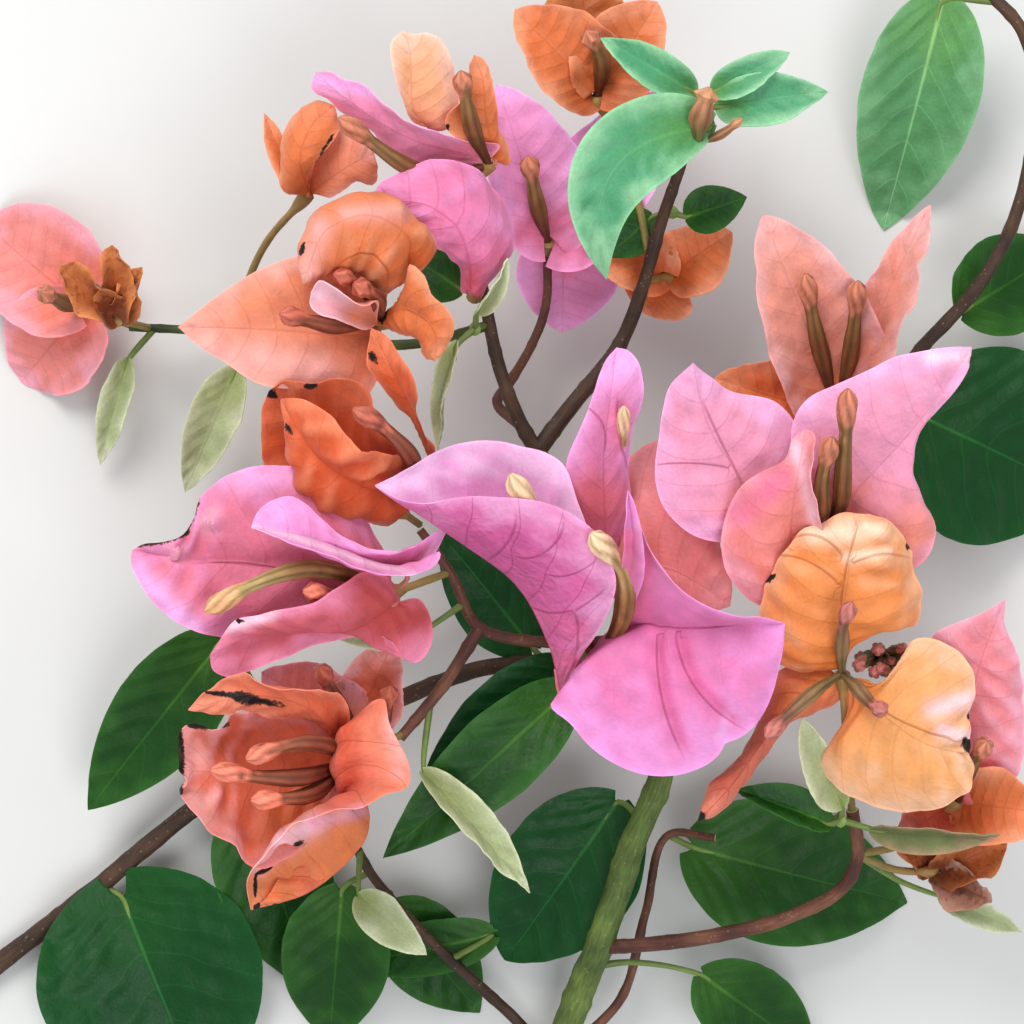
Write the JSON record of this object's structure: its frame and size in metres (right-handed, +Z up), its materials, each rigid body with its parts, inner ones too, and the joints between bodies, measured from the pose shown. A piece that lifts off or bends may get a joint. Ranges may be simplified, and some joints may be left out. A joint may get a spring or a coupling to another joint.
{
  "type": "bougainvillea branch",
  "caption": "Cut flowering bougainvillea branch laid down, its papery bracts pink to orange, with tube flowers, thin stems and heart-shaped leaves.",
  "frame": {"origin": "middle of the outline that the branch covers, on the surface that it lies on", "axes": "+Z up from the surface; the main stem runs along Y with its cut end at -Y; the blooms face +Z"},
  "size_m": [0.2458, 0.2406, 0.0904],
  "materials": {
    "bract_pink": "thin papery bract, matt with a soft sheen",
    "bract_salmon": "thin papery bract, matt with a soft sheen",
    "bract_orange": "quilted papery bract, soft sheen",
    "bract_yellow_orange": "quilted papery bract, soft sheen",
    "bract_red_orange": "quilted papery bract, soft sheen",
    "leaf_green": "smooth leaf, slight gloss",
    "leaf_dark": "smooth leaf, slight gloss",
    "leaf_young": "smooth young leaf, soft gloss",
    "leaf_pale": "small pale leaf, matt",
    "bark_olive": "young bark, fine lengthwise ridges",
    "bark_brown": "young bark, fine lengthwise ridges",
    "bark_maroon": "young bark, fine lengthwise ridges",
    "bark_green": "green stem, smooth"
  },
  "bodies": {
    "root": {"main_stem": "bark_olive", "upper_stem": "bark_brown", "upper_left_arm": "bark_brown", "cyme_stem": "bark_maroon", "left_fork": "bark_maroon", "left_fork_lower": "bark_maroon", "rear_left_stem": "bark_brown", "right_branch": "bark_maroon", "thin_red_stem": "bark_maroon", "lower_left_stem": "bark_brown", "rear_right_stem": "bark_brown", "left_arm_twig": "bark_green", "bloom_centre_pink": "bract_pink", "bloom_centre_upper": "bract_pink", "bloom_right_pink": "bract_pink", "bloom_right_orange": "bract_yellow_orange", "bloom_right_edge": "bract_pink", "bloom_right_dried": "bract_red_orange", "bloom_upper_right": "bract_salmon", "bloom_rear_pink": "bract_pink", "bloom_top_orange": "bract_orange", "bloom_rear_orange": "bract_orange", "bloom_top_left_pink": "bract_pink", "bloom_left_round": "bract_pink", "bloom_left_orange": "bract_orange", "bloom_left_crumpled": "bract_orange", "bloom_left_pink": "bract_pink", "bloom_lower_cup": "bract_red_orange", "bloom_lower_rear": "bract_salmon", "bloom_small_orange": "bract_orange", "bloom_left_edge": "bract_salmon", "bloom_left_dried": "bract_orange", "leaf_middle": "leaf_green", "leaf_middle_rear": "leaf_dark", "leaf_lower_dark": "leaf_dark", "leaf_lower_folded": "leaf_pale", "leaf_lower_pale": "leaf_pale", "leaf_lower_left_big": "leaf_dark", "leaf_left_middle": "leaf_green", "leaf_lower_middle": "leaf_green", "leaf_lower_narrow": "leaf_green", "leaf_lower_right": "leaf_green", "leaf_lower_rear": "leaf_green", "leaf_lower_low": "leaf_green", "leaf_left_low": "leaf_green", "leaf_centre_low": "leaf_dark", "leaf_top_right": "leaf_green", "leaf_right_big": "leaf_dark", "leaf_right_small": "leaf_green", "leaf_left_cream": "leaf_pale", "leaf_left_pale": "leaf_pale", "leaf_left_olive": "leaf_pale", "leaf_right_low": "leaf_pale", "leaf_rear_left": "leaf_green", "shoot_top": "leaf_young", "shoot_top_low": "leaf_green", "shoot_right": "leaf_green", "shoot_upper_left": "leaf_pale"}
  },
  "joints": []
}
